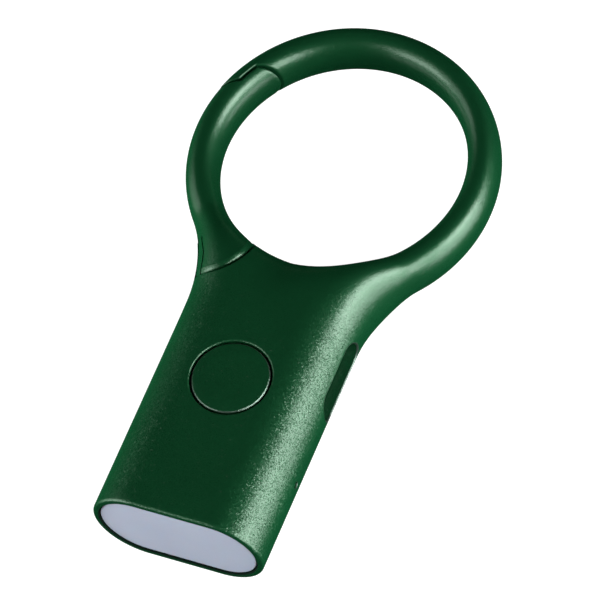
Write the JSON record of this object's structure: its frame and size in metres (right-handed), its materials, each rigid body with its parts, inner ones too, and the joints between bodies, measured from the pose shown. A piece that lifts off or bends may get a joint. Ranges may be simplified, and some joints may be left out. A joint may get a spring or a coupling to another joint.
{
  "type": "keychain torch",
  "caption": "Rechargeable keychain torch with a flat lamp end, push button, side charging socket and a ring with a sprung snap gate.",
  "frame": {"origin": "centre of the bounding box, on the flat back that the torch lies on", "axes": "+Y from the lamp end to the ring, +Z out of the face with the button, +X towards the side with the charging slot"},
  "size_m": [0.0395, 0.0746, 0.0127],
  "materials": {
    "green_metal": "dark green metallic, fine blasted grain",
    "steel": "satin",
    "silicone": "matt",
    "black_plastic": "matt",
    "grey_plastic": "matt",
    "white_plastic": "satin white reflector",
    "frost": "frosted, translucent",
    "clear": "clear moulded light pipe",
    "board": "solder-masked glass-fibre laminate",
    "led": "phosphor under clear resin",
    "ceramic": "matt component body",
    "pouch": "laminated foil",
    "foam": "soft foam pad",
    "red_wire": "insulation",
    "black_wire": "insulation"
  },
  "bodies": {
    "body": {"housing": "green_metal", "gate_pin": "steel", "gate_spring": "steel", "button_seal": "silicone", "switch_base": "black_plastic", "switch_dome": "steel", "diffuser": "frost", "diffuser_gasket": "silicone", "light_cup": "white_plastic", "led_board": "board", "led_1": "led", "led_2": "led", "led_3": "led", "led_4": "led", "led_5": "led", "led_6": "led", "main_board": "board", "inner_frame": "black_plastic", "board_screw_1": "steel", "board_screw_2": "steel", "charge_chip": "black_plastic", "driver_chip": "black_plastic", "inductor": "ceramic", "capacitor_1": "ceramic", "capacitor_2": "ceramic", "indicator_led": "led", "light_pipe": "clear", "battery_cell": "pouch", "battery_pad": "foam", "battery_board": "board", "battery_lead_positive": "red_wire", "battery_lead_negative": "black_wire", "led_lead_1": "red_wire", "led_lead_2": "black_wire", "usb_shell": "steel", "usb_tongue": "black_plastic"},
    "gate": {"gate": "green_metal"},
    "button": {"button_cap": "green_metal"},
    "plunger": {"switch_plunger": "grey_plastic"}
  },
  "joints": [
    {"name": "gate_hinge", "type": "hinge", "parent": "body", "child": "gate", "pos_m": [-0.0096, 0.00057, 0.00633], "axis": [0, 0, -1], "range_deg": [0, 25], "stiffness_Nm_per_rad": 0.02, "springref_deg": -28.65, "deforming": ["gate_spring"]},
    {"name": "button_press", "type": "slide", "parent": "body", "child": "button", "axis": [0, 0, -1], "range_m": [0, 0.0003], "stiffness_N_per_m": 3000, "springref_m": -0.0002},
    {"name": "plunger_press", "type": "slide", "parent": "body", "child": "plunger", "axis": [0, 0, -1], "range_m": [0, 0.0003], "deforming": ["switch_dome"]}
  ],
  "couplings": [
    {"joint": "plunger_press", "follows": "button_press", "ratio": 1}
  ]
}
